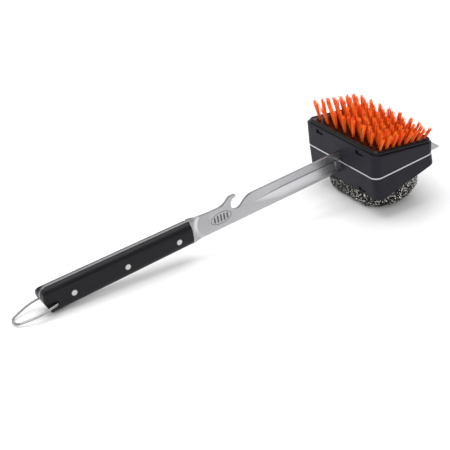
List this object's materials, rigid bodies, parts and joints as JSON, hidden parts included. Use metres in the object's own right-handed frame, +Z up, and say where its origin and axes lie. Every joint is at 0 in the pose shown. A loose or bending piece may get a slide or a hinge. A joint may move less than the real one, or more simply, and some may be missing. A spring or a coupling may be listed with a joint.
{
  "type": "grill cleaning brush",
  "caption": "Two-sided grill brush: riveted full-tang handle, bottle opener, scraper plate, nylon bristle and steel-mesh cartridges.",
  "frame": {"origin": "middle of the brush's footprint, on the surface that its scrubber pad and the butt of its handle rest on", "axes": "+X from the handle to the head, +Y to the left, +Z up, towards the bristles"},
  "size_m": [0.4848, 0.1284, 0.0986],
  "materials": {
    "brushed_shaft": "satin",
    "scraper_steel": "satin",
    "grip_plastic": "matte",
    "rivet_steel": "satin",
    "loop_wire": "polished",
    "screw_steel": "satin",
    "housing_plastic": "matte",
    "cartridge_plastic": "satin",
    "bristle_nylon": "satin",
    "core_foam": "matte",
    "steel_mesh": "satin"
  },
  "bodies": {
    "handle_and_head": {"steel_shaft": "brushed_shaft", "handle_scale_right": "grip_plastic", "handle_scale_left": "grip_plastic", "rivet_sockets": "rivet_steel", "rivet_studs": "rivet_steel", "upper_housing": "housing_plastic", "lower_housing": "housing_plastic", "scraper_plate": "scraper_steel", "housing_screws": "screw_steel", "shaft_pins": "screw_steel"},
    "brush_cartridge": {"brush_base": "cartridge_plastic", "tuft_staples": "screw_steel", "bristle_row_1": "bristle_nylon", "bristle_row_2": "bristle_nylon", "bristle_row_3": "bristle_nylon", "bristle_row_4": "bristle_nylon", "bristle_row_5": "bristle_nylon", "bristle_row_6": "bristle_nylon", "bristle_row_7": "bristle_nylon", "bristle_row_8": "bristle_nylon"},
    "scrubber_cartridge": {"scrubber_base": "cartridge_plastic", "scrubber_core": "core_foam", "steel_mesh_pad": "steel_mesh", "mesh_retainer": "cartridge_plastic", "retainer_screws": "screw_steel"},
    "loop": {"hanging_loop": "loop_wire"}
  },
  "joints": [
    {"name": "loop_swing", "type": "hinge", "parent": "handle_and_head", "child": "loop", "pos_m": [-0.19896, 0.00003, 0.01251], "axis": [0, 1, 0], "range_deg": [-150, 160]},
    {"name": "brush_release", "type": "slide", "parent": "handle_and_head", "child": "brush_cartridge", "axis": [0.0754, 0, 0.9972], "range_m": [0, 0.03]},
    {"name": "scrubber_release", "type": "slide", "parent": "handle_and_head", "child": "scrubber_cartridge", "axis": [0.2832, 0, -0.9591], "range_m": [0, 0.03]}
  ]
}
